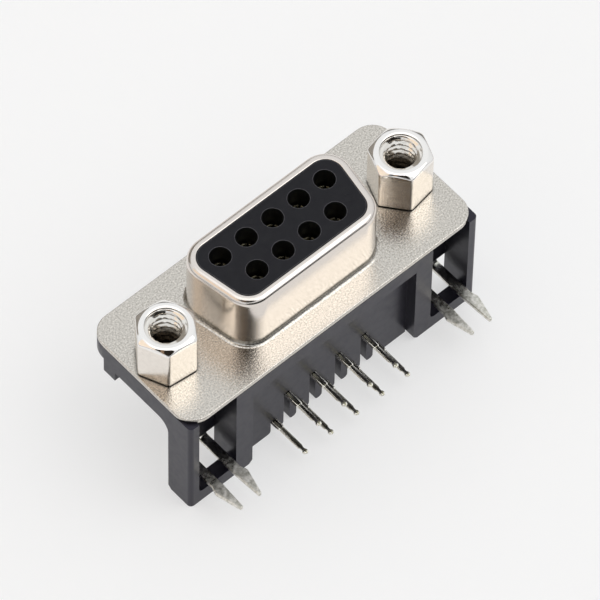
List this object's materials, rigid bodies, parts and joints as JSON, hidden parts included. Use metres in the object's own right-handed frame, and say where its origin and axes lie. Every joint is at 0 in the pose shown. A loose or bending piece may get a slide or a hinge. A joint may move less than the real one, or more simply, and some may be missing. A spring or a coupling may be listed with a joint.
{
  "type": "right-angle board-mount d-sub socket connector",
  "caption": "Nine-way D-sub socket lying on its back: nickel shell and hex jackscrews over a dark right-angle bracket, bent tin tails and barbed board locks along the board side.",
  "frame": {"origin": "centre of the D at the front face of the metal flange", "axes": "X along the flange, with the first contact at the -X end; Z out of the mating face; Y away from the board, so the tails point to -Y"},
  "size_m": [0.0308, 0.0166, 0.0182],
  "materials": {
    "shell_nickel": "nickel-plated drawn steel, satin with a fine mottled grain",
    "screw_nickel": "polished nickel plate over brass",
    "lock_tin": "matte tin plate with an uneven grain",
    "contact_tin": "bright tin plate",
    "insulator_black": "glass-filled moulding, near black",
    "bracket_charcoal": "glass-filled moulding, charcoal with a soft sheen"
  },
  "bodies": {
    "root": {"front_shell": "shell_nickel", "front_insulator": "insulator_black", "contact_1": "contact_tin", "contact_2": "contact_tin", "contact_3": "contact_tin", "contact_4": "contact_tin", "contact_5": "contact_tin", "contact_6": "contact_tin", "contact_7": "contact_tin", "contact_8": "contact_tin", "contact_9": "contact_tin", "bracket": "bracket_charcoal", "jackscrew_left": "screw_nickel", "jackscrew_right": "screw_nickel", "boardlock_left": "lock_tin", "boardlock_right": "lock_tin", "nut_left": "screw_nickel", "nut_right": "screw_nickel"}
  },
  "joints": []
}
